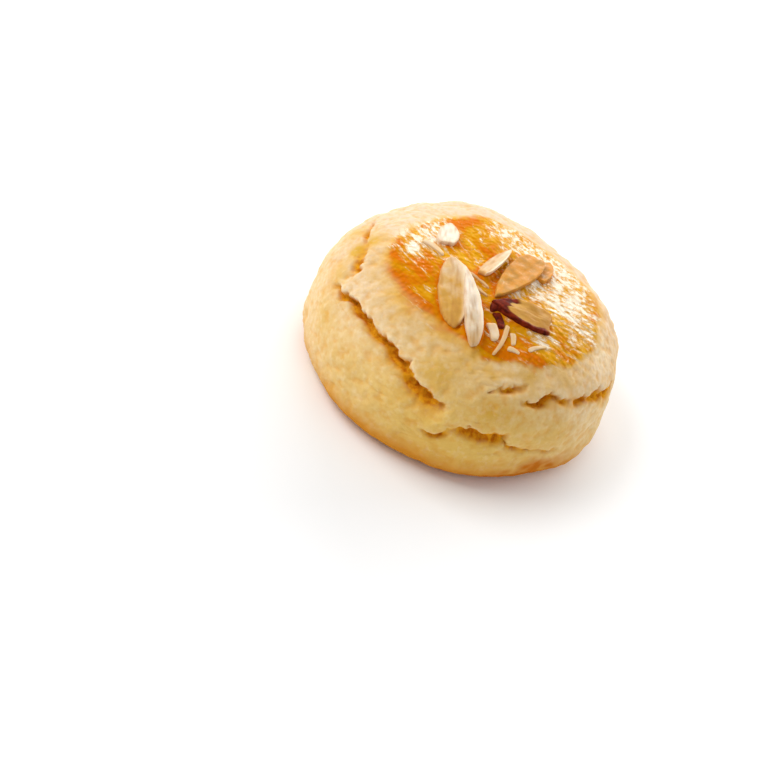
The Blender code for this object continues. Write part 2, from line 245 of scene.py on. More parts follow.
def turned_outline():
    """The outline from the base's middle to its rim, round the foot and over the dome to the top's middle.

    The foot is a quarter circle and the dome a superellipse: radius = cos^(2/n), height = sin^(2/n).
    """
    flat = np.linspace(0, WIDEST_RADIUS - FOOT_ROUNDING, OUTLINE_BASE)[:-1]
    base = np.c_[flat, 0 * flat]
    foot_turn = np.linspace(-math.pi / 2, 0, OUTLINE_FOOT)
    foot = np.c_[
        WIDEST_RADIUS - FOOT_ROUNDING * (1 - np.cos(foot_turn)),
        FOOT_ROUNDING * (1 + np.sin(foot_turn)),
    ]
    climb = np.linspace(0, math.pi / 2, OUTLINE_DOME)[1:]
    dome = np.c_[
        WIDEST_RADIUS * np.cos(climb).clip(0) ** (2 / DOME_POWER),
        FOOT_ROUNDING + (TOP_HEIGHT - FOOT_ROUNDING) * np.sin(climb) ** (2 / DOME_POWER),
    ]
    dome[-1] = (0, TOP_HEIGHT)
    return np.vstack([base, foot, dome])


OUTLINE = turned_outline()
OUTLINE_UP = walked(OUTLINE) - (WIDEST_RADIUS - FOOT_ROUNDING)  # 0 at the base's rim, and less under it


def skin_rows():
    """Where the rings of the skin lie along the outline: closer together where the cracks are."""
    base = np.linspace(OUTLINE_UP[0], 0, BISCUIT_BASE_ROWS + 1)[1:-1]
    up = np.linspace(0, OUTLINE_UP[-1], CROWDING_STEPS)
    height = np.interp(up, OUTLINE_UP, OUTLINE[:, 1])
    crowding = 1 + smooth_step(height, *CRACKED_FROM) * smooth_step(height, *CRACKED_TO)
    rank = np.cumsum(crowding)
    ranks = np.linspace(rank[0], rank[-1], BISCUIT_SKIN_ROWS + 1)[:-1]
    return np.r_[base, np.interp(ranks, rank, up)]


SKIN_UPS = skin_rows()


def beside_route(route, along, up):
    """For points of the unrolled side: how far above the route it lies, and the share of it walked there."""
    ends = walked(route)
    nearest = np.full(len(along), np.inf)
    above = np.zeros(len(along))
    share = np.zeros(len(along))
    for start, finish, begun, ended in zip(route[:-1], route[1:], ends[:-1], ends[1:]):
        run = finish - start
        t = np.clip(((along - start[0]) * run[0] + (up - start[1]) * run[1]) / (run @ run), 0, 1)
        beside = along - start[0] - t * run[0]
        over = up - start[1] - t * run[1]
        gap = np.hypot(beside, over)
        closer = gap < nearest
        nearest = np.where(closer, gap, nearest)
        above = np.where(closer, np.where(run[0] * over >= run[1] * beside, gap, -gap), above)
        share = np.where(closer, (begun + t * (ended - begun)) / ends[-1], share)
    return above, share


def crack_relief(points, angle, up):
    """What the cracks do to each point: how far they sink or lift it, how open it is, how far a lip hangs
    down there, and how strongly it is a lip or a golden edge below a crack.

    A crack's depth is a flat-topped bell across its route, narrow above and wide below. It widens along the
    route and fades at both ends. Just above it the crust lifts to a ragged lip, which leans out over it. The
    lip's mark paints it paler, a painted highlight.
    """
    stray_along = layered_noise(points, STRAYS_ALONG)
    stray_across = layered_noise(points, STRAYS_ACROSS)
    ragged = layered_noise(points, EDGE_FRAYS)
    uneven = (0.78 + layered_noise(points, DEPTH_VARIES)).clip(0, 1.15)
    patchy = (0.75 + layered_noise(points, GOLD_VARIES)).clip(0, 1)
    relief, opening, overhang, raised, warmed = np.zeros((5, len(points)))
    dome = OUTLINE_UP > 0
    for route, depth, width, lip in CRACKS.values():
        degrees, heights = np.array(route, float).T
        middle = math.radians(degrees.mean())
        turned = (angle - middle + math.pi) % (2 * math.pi) - math.pi
        line = np.c_[
            (np.radians(degrees) - middle) * SIDE_RADIUS,
            np.interp(heights, OUTLINE[dome, 1], OUTLINE_UP[dome]),
        ]
        above, share = beside_route(line, turned * SIDE_RADIUS + stray_along, up + stray_across)
        above += ragged * smooth_step(above, -0.6 * width, 0.2 * width)
        strength = np.clip(8 * share * (1 - share), 0, 1) ** 0.6 * uneven
        wide = width * (0.4 + 0.8 * share)
        reach = wide * np.where(above > 0, GROOVE_ABOVE, GROOVE_BELOW)
        groove = np.exp(-(np.abs(above / reach) ** GROOVE_SQUARENESS))
        lifted = smooth_step(above, 0, 0.7 * width) * np.exp(-np.clip(above, 0, None) / LIP_REACH)
        relief += strength * (lip * lifted - depth * groove)
        ledge = strength * smooth_step(above, 0.2, 0.6) * smooth_step(above, 2.0, 0.5)
        raised = np.maximum(raised, ledge * min(1, 1.4 * lip))
        shown = min(1, 0.75 * depth)  # a shallow crack shows less of its crumb
        opening = np.maximum(opening, strength * groove * shown)
        below = smooth_step(above, 0.4 * width, 0) * np.exp(-((above.clip(None, 0) / (1.5 * wide)) ** 2))
        warmed = np.maximum(warmed, strength * below * patchy * shown)
        leaning = smooth_step(above, 0, 0.5 * width) * smooth_step(above, 2.2 * width, 0.5 * width)
        overhang = np.maximum(overhang, LIP_OVERHANG * strength * leaning * min(1, 1.2 * lip))
    return relief, opening, overhang, raised, warmed


def bells(angle, height, table):
    """The sum of the table's patches at each point: each is a bell both round the biscuit and up it."""
    total = np.zeros(len(angle))
    for degrees, middle, rise, round_spread, up_spread in table:
        off = (np.degrees(angle) - degrees + 180) % 360 - 180
        total += rise * np.exp(-((off / round_spread) ** 2) - ((height - middle) / up_spread) ** 2)
    return total


def plan_bells(points, table):
    """The sum of the table's patches at each point: each is a bell in the plan."""
    total = np.zeros(len(points))
    for middle, reach, rise in table:
        total += rise * np.exp(-((np.linalg.norm(points[:, :2] - middle, axis=1) / reach) ** 2))
    return total


def crumb_relief(points):
    """How high the crumbs stand: noise whose lower half is drawn out into pits, with grains side by side."""
    relief = np.zeros(len(points))
    for seed, (cell, rise) in enumerate(CRUMBS, start=31):
        grain = smooth_noise(points, cell, seed)
        relief += rise * np.where(grain > 0, 0.6 * grain, 1.2 * grain)
    return relief


def wash_cover(points):
    """How much egg wash covers each point: 1 well inside the brushed patch, and 0 outside its wandering edge.

    The patch is round, stretched to the left and right. Its edge is soft, and softer at the left, at the
    front left, where the wash ran out thin, and at the right, where it was brushed out.
    """
    x, y = points[:, 0] - WASH_MIDDLE[0], points[:, 1] - WASH_MIDDLE[1]
    turn = np.arctan2(y, x)
    reach = WASH_REACH + WASH_STRETCH * np.cos(2 * turn)
    reach += layered_noise(points, WASH_WANDERS)
    thin = np.exp(-((turn - WASH_THIN[0]) / WASH_THIN[1]) ** 2)
    smear_turn, smear_spread = np.radians(WASH_SMEAR[:2])
    smeared = np.exp(-((turn - smear_turn) / smear_spread) ** 2)
    reach += WASH_SMEAR[2] * smeared
    left = (0.5 - 0.5 * np.cos(turn)) ** 2
    all_round, at_left, where_thin, where_smeared = WASH_SOFTNESS
    soft = all_round + at_left * left + where_thin * thin + where_smeared * smeared
    return smooth_step(reach - np.hypot(x, y), -soft, soft) * smooth_step(points[:, 2], *WASH_HEIGHTS)


def facing(turn, degrees):
    """1 on the side of the biscuit that is at that angle, and along a cosine down to 0 on the other side."""
    return 0.5 + 0.5 * np.cos(turn - math.radians(degrees))


def brushed_wash(points, turn):
    """How the wash lies at each point: how much it covers it, how thick it is, and where the brush ran dry.

    The last strokes pushed it to one side, where it stands thick along its edge. Where the brush ran dry
    also places the painted glints, most at the back and right.
    """
    wash = wash_cover(points)
    rim = wash * (1 - wash_cover(points * (WASH_RIM, WASH_RIM, 1))) * facing(turn, LAST_STROKE) ** 2
    bare_streaks_and_glints = (0.1 + plan_bells(points, BARE_AND_GLINTS) + 0.3 * smooth_noise(points, 3.0, 43)).clip(0, 1) * (1 - rim)
    puddle = 0.5 + 0.5 * smooth_noise(points * (1, 1, 0.2), 4.2, 41) + 0.5 * rim
    puddle += plan_bells(points, PUDDLES) - 0.5 * bare_streaks_and_glints
    return wash, puddle, bare_streaks_and_glints


def baked_marks(points, turn, height, wash, grain, fissure, lip):
    """How the wash stained each point of the skin, how the oven coloured it, and where light is painted.

    A mark is made of smooth steps over the height, the side that a point faces, tables of patches, and noise.
    """
    stain = wash_cover(points * (WASH_RUN, WASH_RUN, 1)) * (1 - wash)
    stain *= 0.2 + 0.8 * facing(turn, LAST_STROKE) ** 2
    stain *= 0.7 + 0.9 * smooth_noise(points, 2.2, 46)
    frontal = facing(turn, GOLDEN_SIDE)
    foot = smooth_step(height, FOOT_BROWNED + FOOT_BROWNED_MORE * frontal, 0.3)
    foot *= 0.1 + 1.1 * frontal + 0.5 * smooth_noise(points, 6.0, 42)
    under = smooth_step(height, 0.6, 0.0)
    # Painted highlight: the top is painted paler towards the strip light behind it.
    painted_top_highlight = smooth_step(height, *HIGHLIGHT_HEIGHTS) * facing(turn, HIGHLIGHT_SIDE) * (1 - wash)
    # Painted highlight: the lips, and the patches on the right, are painted paler.
    lip = np.maximum(lip, bells(turn, height, PAINTED_PALER))
    return {
        "stain": stain * (1 - painted_top_highlight),
        "browning": np.maximum(foot, under),
        "scorched": bells(turn, height, SCORCHED) * (1 + 1.3 * smooth_noise(points * (1, 1, 1.6), 2.2, 44)),
        "tanned": bells(turn, height, TANNED) * (1 + 0.5 * smooth_noise(points, 3.0, 45)) * (1 - lip),
        # Painted shade: a deeper gold on the side turned away from the softboxes.
        "golden": 0.85 * smooth_step(height, *GOLDEN_HEIGHTS) * frontal**3,
        # Painted shade: a deeper gold in the pits of the grain and in the fissures.
        "pit_shade": smooth_step(grain, 0.0, -0.16) + 0.3 * fissure,
        "painted_top_highlight": painted_top_highlight,
        "lip": lip,
    }


def biscuit_rings():
    """The whole skin as rings of points from the base's middle to the top's, and the marks of each point.

    The turned outline is moved along its own normal by lumps, swells, cracks, grain and wash. Near the base
    it moves only sideways, which leaves the base flat.
    """
    slope = np.gradient(OUTLINE, OUTLINE_UP, axis=0)
    slope /= np.linalg.norm(slope, axis=1)[:, None]
    angles = np.arange(BISCUIT_AROUND) / BISCUIT_AROUND * 2 * math.pi - math.pi
    up, turn = (grid.ravel() for grid in np.meshgrid(SKIN_UPS, angles, indexing="ij"))
    radius, height = (np.interp(up, OUTLINE_UP, OUTLINE[:, side]) for side in (0, 1))
    slope_out, slope_up = (np.interp(up, OUTLINE_UP, slope[:, side]) for side in (0, 1))
    points = np.c_[radius * np.cos(turn), radius * np.sin(turn), height]
    outward = np.c_[slope_up * np.cos(turn), slope_up * np.sin(turn), -slope_out]
    downhill = -np.c_[slope_out * np.cos(turn), slope_out * np.sin(turn), slope_up]

    washed = smooth_step(radius, EGG_WASH_RADIUS, EGG_WASH_RADIUS - EGG_WASH_FEATHER)
    cracked, opening, overhang, lip, warmed = crack_relief(points, turn, up)
    wash, puddle, bare_streaks_and_glints = brushed_wash(points, turn)
    relief = cracked + bells(turn, height, SWELLS)
    for seed, (cell, rise) in enumerate(LUMPS):
        relief += rise * smooth_noise(points, cell, seed) * (1 - EGG_WASH_EVENS * washed)
    grain = crumb_relief(points + outward * cracked[:, None]) * (CRUMBS_ON_CRUST + CRUMBS_IN_CRACKS * opening)
    grain *= 1 - EGG_WASH_EVENS * wash
    fissured = smooth_step(smooth_noise(points, 6.0, 35), 0.0, 0.5) * smooth_step(height, 3, 6) * (1 - washed)
    line = smooth_noise(np.c_[turn * SIDE_RADIUS / FISSURE_STRETCH, up, 0 * up], FISSURE_SPACING, 36)
    fissure = fissured * np.exp(-((line / FISSURE_WIDTH) ** 2))
    relief += grain - FISSURE_DEPTH * fissure
    relief += WASH_THICKNESS * wash * (0.5 + puddle.clip(0, 1))
    outward[:, 2] *= smooth_step(height, 0.2, 3.0)
    points += outward * relief[:, None] + downhill * overhang[:, None]

    marks = {"opening": opening, "warmed": warmed, "wash": wash, "puddle": puddle, "bare_streaks_and_glints": bare_streaks_and_glints}
    marks |= baked_marks(points, turn, height, wash, grain, fissure, lip)
    marks = {name: mark.clip(0, 1) for name, mark in marks.items()}
    swept = points[:, :2] - SWEEP_MIDDLE
    marks["along_stroke"] = np.arctan2(swept[:, 0], -swept[:, 1]) * SWEEP_MIDDLE[1] * MILLIMETRE
    marks["across_stroke"] = np.linalg.norm(swept, axis=1) * MILLIMETRE
    shape = (len(SKIN_UPS), BISCUIT_AROUND)
    return points.reshape(*shape, 3), {name: mark.reshape(shape) for name, mark in marks.items()}


def skin_of_rings(name, rings, marks):
    """A closed mesh object: the rings joined by quads, and each end drawn together to a point at its middle.

    A mark is one number for each point of the rings, kept as the mesh's attribute of that name.
    """
    rows, around = rings.shape[:2]
    points = np.vstack([rings[0].mean(axis=0), rings.reshape(-1, 3), rings[-1].mean(axis=0)])
    here = np.arange(around)
    after = np.roll(here, -1)
    low = 1 + around * np.arange(rows - 1)[:, None]
    corners = (low + here, low + after, low + around + after, low + around + here)
    quads = np.stack(corners, axis=-1).reshape(-1, 4)
    last = 1 + around * (rows - 1)
    first_fan = np.stack([np.zeros_like(here), 1 + after, 1 + here], axis=-1)
    last_fan = np.stack([last + here, last + after, np.full_like(here, len(points) - 1)], axis=-1)
    mesh = bpy.data.meshes.new(name)
    faces = quads.tolist() + first_fan.tolist() + last_fan.tolist()
    mesh.from_pydata((points * MILLIMETRE).tolist(), [], faces)
    mesh.shade_smooth()
    for mark, values in marks.items():
        numbers = np.r_[values[0].mean(), values.ravel(), values[-1].mean()]
        mesh.attributes.new(mark, "FLOAT", "POINT").data.foreach_set("value", numbers.astype(np.float32))
    piece = bpy.data.objects.new(name, mesh)
    bpy.context.scene.collection.objects.link(piece)
    return piece


def to_linear(hex_colour):
    """The linear colour of an sRGB hex value: up to 0.04045 over 12.92, and above it to the power of 2.4."""
    channels = [int(hex_colour[i:i + 2], 16) / 255 for i in (1, 3, 5)]
    return (*(c / 12.92 if c <= 0.04045 else ((c + 0.055) / 1.055) ** 2.4 for c in channels), 1.0)


def set_sockets(tree, node, sockets):
    """Gives each socket of a node, by its name or its number, a value or another node's output."""
    for name, value in sockets.items():
        if isinstance(value, bpy.types.NodeSocket):
            tree.links.new(value, node.inputs[name])
        else:
            node.inputs[name].default_value = value


def add_node(tree, kind, settings, **sockets):
    """Adds a shader node with its settings and sockets: _3 is the socket with that number.

    In Map Range, _1 and _2 are the range that is read, and _3 and _4 the one that is given, both 0 to 1 where
    they are left out. In Mix, _0 is the share of colour _7.
    """
    node = tree.nodes.new("ShaderNode" + kind)
    for name, value in settings.items():
        setattr(node, name, value)
    keys = [int(name[1:]) if name[0] == "_" else name for name in sockets]
    set_sockets(tree, node, dict(zip(keys, sockets.values())))
    return node


def new_material(name):
    """An empty material with its shader, and the tree that both are in."""
    material = bpy.data.materials.new(name)
    material.use_nodes = True
    tree = material.node_tree
    return material, tree, tree.nodes["Principled BSDF"]


def weighted(tree, total, parts):
    """A number with others added to it, each times its weight."""
    for part, weight in parts:
        total = add_node(tree, "Math", {"operation": "MULTIPLY_ADD"}, _0=part, _1=weight, _2=total).outputs[0]
    return total


def layered(tree, colour, layers):
    """A colour with others laid over it in turn, each by its mark's number, from 0 to 1, times a strength."""
    for mark, strength, over in layers:
        share = add_node(tree, "Math", {"operation": "MULTIPLY"}, _0=mark, _1=strength).outputs[0]
        over = over if isinstance(over, bpy.types.NodeSocket) else to_linear(over)
        colour = add_node(tree, "Mix", {"data_type": "RGBA"}, _0=share, _6=colour, _7=over).outputs[2]
    return colour


def patches(tree, place, size, detail, low, high):
    """Cloudy patches of a size in millimetres, from 0 to 1; low and high are the noise that become those."""
    cloud = add_node(
        tree, "TexNoise", {}, Vector=place, Scale=1 / (size * MILLIMETRE), Detail=detail, Roughness=0.55
    )
    return add_node(tree, "MapRange", {}, _0=cloud.outputs["Fac"], _1=low, _2=high).outputs[0]


def baked_dough(mark_names):
    """Baked shortbread, open and sandy, and the beaten egg baked onto it, a hard amber gloss.

    The dough is pale cream, golden in its cracks and at its foot, and dull. It lets light in a little, which
    softens its shadows. The wash is darker and redder where it lies thicker, its skin is finely puckered, so
    it glitters, and the hairs of the brush left pale streaks in it, whose palest flecks are painted glints.
    Painted shade deepens the gold in front and in the pits, and in part the wash round the flakes; painted
    highlights pale the top behind and the lips. A mark is the mesh's number at a point.
    """
    material, tree, shader = new_material("baked_shortbread_with_egg_wash")
    place = add_node(tree, "TexCoord", {}).outputs["Object"]
    mark = {name: add_node(tree, "Attribute", {"attribute_name": name}).outputs["Fac"] for name in mark_names}

    # The crust's colours, each laid over those before it. The deeper gold in front and the gold in the pits
    # are painted shade, and the pale top behind, the pale lips and the pale patches on the right are painted
    # highlights.
    clouds = patches(tree, place, 7.0, 3, 0.35, 0.65)
    sand = patches(tree, place, 0.9, 4, 0.3, 0.7)
    pale_grains = patches(tree, place, 1.2, 3, 0.5, 0.8)
    warm = add_node(tree, "MapRange", {}, _0=mark["warmed"], _1=0.1, _2=0.9, _4=0.8).outputs[0]
    depth = add_node(tree, "MapRange", {}, _0=mark["opening"], _1=0.1, _2=0.55).outputs[0]
    crumb = layered(tree, to_linear("#DE9A1C"), [(patches(tree, place, 1.2, 3, 0.42, 0.62), 1.0, "#C07010")])
    crust_layers = (
        (clouds, 1.0, "#E0C49C"),
        (mark["golden"], 1.0, "#E6BE58"),
        (mark["painted_top_highlight"], 1.0, "#DDC5B2"),
        (mark["tanned"], 1.0, "#D4A745"),
        (mark["lip"], 0.8, "#F4E3C6"),
        (sand, 0.5, "#DAAC56"),
        (pale_grains, 0.25, "#F8EAD0"),
        (mark["pit_shade"], 0.4, "#DE9B35"),
        (mark["stain"], 1.0, "#D6A646"),
        (mark["browning"], 1.0, "#D48D2C"),
        (mark["scorched"], 1.0, "#C4701C"),
        (warm, 1.0, "#D49E30"),
        (depth, 1.0, crumb),
    )
    crust = layered(tree, to_linear("#EAD3B2"), crust_layers)

    # The wash's colour by its thickness, streaked along the strokes, and the gaps between the hairs. It is
    # thicker and redder round the flakes, partly as painted shade beside and under them.
    along = add_node(tree, "Math", {"operation": "MULTIPLY"}, _0=mark["along_stroke"], _1=0.45).outputs[0]
    strokes = add_node(tree, "CombineXYZ", {}, X=along, Y=mark["across_stroke"]).outputs[0]
    streaks = patches(tree, strokes, 1.6, 4, 0.35, 0.65)
    towards_edge = weighted(tree, -0.7, [(mark["wash"], 0.7)])
    thickness = ((mark["puddle"], 0.7), (streaks, 0.65), (mark["pooled_wash_and_shade"], 0.35), (towards_edge, 1.0))
    ramp = add_node(tree, "ValToRGB", {}, Fac=weighted(tree, -0.17, thickness))
    stops = ramp.color_ramp.elements
    stops[0].position, stops[0].color = 0.12, to_linear("#D89E1A")
    stops[1].position, stops[1].color = 0.9, to_linear("#CE6C02")
    stops.new(0.5).color = to_linear("#CE8802")
    hairs = add_node(
        tree, "TexNoise", {}, Vector=strokes, Scale=1 / (1.1 * MILLIMETRE), Detail=4, Roughness=0.75
    ).outputs["Fac"]
    gaps = weighted(tree, hairs, ((mark["bare_streaks_and_glints"], 0.18), (mark["puddle"], -0.05)))
    thinned = add_node(tree, "MapRange", {}, _0=gaps, _1=0.56, _2=0.64).outputs[0]
    # Painted glints: the palest gaps between the hairs are near white.
    bared = add_node(tree, "MapRange", {}, _0=gaps, _1=0.64, _2=0.68).outputs[0]
    brushed = layered(tree, ramp.outputs["Color"], ((thinned, 1.0, "#DAB584"), (bared, 1.0, "#F0E0C8")))
    colour = layered(tree, crust, [(mark["wash"], 1.0, brushed)])

    # The relief too fine for the mesh: grit on the crust, and the wash's puckered skin.
    grit = add_node(
        tree, "TexNoise", {}, Vector=place, Scale=1 / (0.45 * MILLIMETRE), Detail=3, Roughness=0.6
    ).outputs["Fac"]
    pucker = add_node(
        tree, "TexNoise", {}, Vector=place, Scale=1 / (0.75 * MILLIMETRE), Detail=0
    ).outputs["Fac"]
    bare = add_node(tree, "MapRange", {}, _0=mark["wash"], _3=0.7, _4=0.0).outputs[0]
    sandy = add_node(
        tree, "Bump", {}, Strength=bare, Distance=0.12 * MILLIMETRE, Height=grit
    ).outputs["Normal"]
    puckered = add_node(
        tree, "Bump", {}, Strength=mark["wash"], Distance=0.25 * MILLIMETRE, Height=pucker, Normal=sandy
    ).outputs["Normal"]

    # The crust is dull and lets light in. The wash glints, most where the brush ran dry.
    dull = add_node(tree, "MapRange", {}, _0=mark["wash"], _3=0.8, _4=0.3).outputs[0]
    gloss = add_node(tree, "MapRange", {}, _0=mark["bare_streaks_and_glints"], _3=0.02, _4=0.16).outputs[0]
    gloss = add_node(tree, "Math", {"operation": "MULTIPLY"}, _0=mark["wash"], _1=gloss).outputs[0]
    lit_inside = add_node(tree, "MapRange", {}, _0=mark["wash"], _3=0.15, _4=0.0).outputs[0]
    finish = {
        "Base Color": colour,
        "Roughness": dull,
        "Specular IOR Level": 0.01,
        "Coat Weight": gloss,
        "Coat Roughness": 0.06,
        "Coat IOR": 1.5,
        "Subsurface Weight": lit_inside,
        "Subsurface Radius": (1.0, 0.8, 0.5),
        "Subsurface Scale": 1.2 * MILLIMETRE,
        "Normal": puckered,
        "Coat Normal": puckered,
    }
    set_sockets(tree, shader, finish)
    return material


biscuit_points, biscuit_marks = biscuit_rings()
biscuit = skin_of_rings("biscuit_with_wash", biscuit_points, biscuit_marks)
biscuit.data.materials.append(baked_dough((*biscuit_marks, "pooled_wash_and_shade")))
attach(biscuit, "root")
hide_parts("biscuit")

# -----------------------------------------------------------------------------------------------------------
# The almond flakes. Almonds cut lengthwise into thin slices and strewn on the wet wash, which glues them
# down as it bakes. The ivory kernel toasts to tan, and some slices keep a rim of dark red-brown skin.
# -----------------------------------------------------------------------------------------------------------

# Each flake's middle (x, y), length, width and heading, how much it narrows from its back to its tip, how
# squarely it is snapped off behind (0 is a whole, rounded end), and how far its tip and its left-hand side
# are raised, in the order in which they fell.
FLAKES = {
    "almond_front_left": ((-5.1, -9.1), 15.0, 4.8, 110, 0.08, 0.0, 0.2, -0.3),
    "almond_front_right": ((-1.6, -11.0), 16.2, 2.6, 115, 0.7, 0.0, 0.0, -0.3),
    "almond_middle": ((-0.45, 1.1), 10.6, 2.3, 72, 0.25, 0.15, 0.0, -0.4),
    "almond_back_right": ((7.4, 5.2), 7.4, 3.8, 75, 0.25, 0.3, 0.2, -0.1),
    "almond_right": ((7.4, -7.0), 11.8, 5.2, 190, 0.4, 0.2, 0.2, 0.15),
    "almond_back": ((3.9, 0.6), 15.6, 5.0, 254, 0.4, 0.1, 0.1, 0.2),
    "almond_back_left": ((-9.6, 4.0), 6.2, 3.6, 100, 0.2, 0.15, 0.2, -0.2),
}
# How far each flake's right-hand margin curls up, painted paler as a highlight where it curls more than
# 0.15; how toasted it is (below 0 paler still, a painted highlight); how much wash ran over it, and the
# stretch of its outline that kept its skin, from 0 at the tip over 90 at its left.
FLAKE_LOOKS = {
    "almond_front_left": (0.8, 0.4, 0.05, (0, 0)),
    "almond_front_right": (0.5, -0.1, 0.0, (0, 0)),
    "almond_middle": (0.2, 0.15, 0.1, (0, 0)),
    "almond_back_right": (0.1, 0.9, 1.0, (0, 0)),
    "almond_right": (0.1, 0.7, 0.1, (-80, 150)),
    "almond_back": (0.1, 0.85, 0.6, (0, 0)),
    "almond_back_left": (0.1, -0.3, 0.05, (0, 0)),
}
FLAKE_THICKNESS = 0.9
FLAKE_WAVE = 0.16  # how high the waves in a flake are
FLAKE_WAVE_SIZE = 2.0
FLAKE_GRAIN = 0.035  # how deep the lines along the kernel are
FLAKE_SINK = 0.25  # how far a flake's lowest point has sunk into the wash
FLAKE_CHIPS = 0.04  # how unevenly its edge is chipped, as a share of its width
FLAKE_AROUND = 144
FLAKE_UNDER_ROWS = 6
FLAKE_EDGE_ROWS = 11
FLAKE_FACE_ROWS = 15
FLAKE_EDGE = (0.93, 0.07)  # its rounded edge starts at the first share of its outline, and adds the second
SKIN_FEATHER = 12  # the skin thins out over this many degrees at each end
# On the face it starts this far out on the left and on the right, and lower down on the edge this far.
SKIN_FROM = (0.76, 0.6)
SKIN_FROM_BELOW = 0.8
# A flake is laid by the heights under these shares of the way to its edge, at so many angles of its outline.
LAYING_SHARES = (0.4, 0.75, 1.0)
LAYING_ANGLES = 26
WASH_CREEP = 1.0  # how far round a flake the wash climbs
WASH_FILL = 0.5  # the widest gap under a flake that the wash fills
WASH_CLING = 0.1  # how far above the flake's underside it stands


def dough_height(x, y):
    """How high the biscuit's top is at points of the plan, between the four points of its skin round each."""
    across = (np.arctan2(y, x) + math.pi) / (2 * math.pi) * BISCUIT_AROUND
    dome = OUTLINE_UP > 0
    up = np.interp(-np.hypot(x, y), -OUTLINE[dome, 0], OUTLINE_UP[dome])
    row = np.clip(np.interp(up, SKIN_UPS, np.arange(len(SKIN_UPS))), 0, len(SKIN_UPS) - 1.001)
    low, left = np.floor(row).astype(int), np.floor(across).astype(int)
    share_up, share_across = row - low, across - left
    height = biscuit_points[:, :, 2]
    left, right = left % BISCUIT_AROUND, (left + 1) % BISCUIT_AROUND
    below = height[low, left] * (1 - share_across) + height[low, right] * share_across
    over = height[low + 1, left] * (1 - share_across) + height[low + 1, right] * share_across
    return below * (1 - share_up) + over * share_up


def almond_side(ahead, narrowing):
    """An almond's half width at a share of its half length: an oval drawn out to a blunt point in front."""
    oval = np.sqrt(np.clip(1 - ahead**2, 0, 1))
    return oval * (1 - narrowing * ahead) * np.where(ahead > 0, oval**0.3, 1)


def almond_outline(turn, length, width, narrowing, snapped):
    """The outline in millimetres at angles round it, cut off unevenly behind where the flake is snapped."""
    ahead = np.cos(turn)
    chipped = 0.08 * np.sin(5 * turn + length)
    return np.c_[
        length / 2 * np.maximum(ahead, snapped - 1 + snapped * chipped),
        width / 2 * np.sign(np.sin(turn)) * almond_side(ahead, narrowing),
    ]


def placed(flat, middle, heading):
    """Points of a flake, as (ahead of its middle, to its left), turned to its heading in the plan."""
    cosine, sine = math.cos(math.radians(heading)), math.sin(math.radians(heading))
    return np.array(middle) + flat @ np.array([[cosine, sine], [-sine, cosine]])


def laid_flake(middle, length, width, heading, narrowing, snapped, tip_rise, side_rise, fallen):
    """Lays a flake on what is under it, and gives its underside and how far a plan's point is outside it.

    The flake is rigid across and bends lengthwise: its underside is a + b ahead + c aside + d ahead^2,
    fitted to the heights under it, with its tip and side raised and a slight wave, and lifted until it just
    sinks in by FLAKE_SINK.
    """
    cosine, sine = math.cos(math.radians(heading)), math.sin(math.radians(heading))

    def flake_place(x, y):
        beside, before = x - middle[0], y - middle[1]
        return np.c_[beside * cosine + before * sine, before * cosine - beside * sine]

    def terms(flat):
        ahead, aside = 2 * flat[:, 0] / length, 2 * flat[:, 1] / width
        return np.c_[np.ones(len(flat)), ahead, aside, ahead**2]

    def raised(flat):
        wave = smooth_noise(np.c_[flat + middle, np.zeros(len(flat))], FLAKE_WAVE_SIZE, 31)
        return terms(flat) @ (0, tip_rise, side_rise, 0) + FLAKE_WAVE * wave

    def height_under(x, y):
        heights = [dough_height(x, y)]
        for under, outside in fallen:
            heights.append(np.where(outside(x, y) < 0, under(x, y) + FLAKE_THICKNESS, -np.inf))
        return np.max(heights, axis=0)

    turn = np.arange(LAYING_ANGLES) / LAYING_ANGLES * 2 * math.pi
    outline = almond_outline(turn, length, width, narrowing, snapped)
    centre = outline.mean(axis=0)
    flat = np.vstack([centre, *(centre + (outline - centre) * share for share in LAYING_SHARES)])
    support = height_under(*placed(flat, middle, heading).T)
    fitted = np.linalg.lstsq(terms(flat), support, rcond=None)[0]
    lift = (support - terms(flat) @ fitted - raised(flat)).max() - FLAKE_SINK

    def underside(x, y):
        flat = flake_place(x, y)
        return terms(flat) @ fitted + raised(flat) + lift

    def outside(x, y):
        along, across = flake_place(x, y).T
        ahead = 2 * along / length
        beyond_end = (np.abs(ahead - snapped / 2) - (1 - snapped / 2)) * length / 2
        beyond_side = np.abs(across) - width / 2 * almond_side(np.clip(ahead, -0.99, 0.99), narrowing)
        return np.where(beyond_end > 0, np.hypot(beyond_end, beyond_side.clip(0)), beyond_side)

    return underside, outside


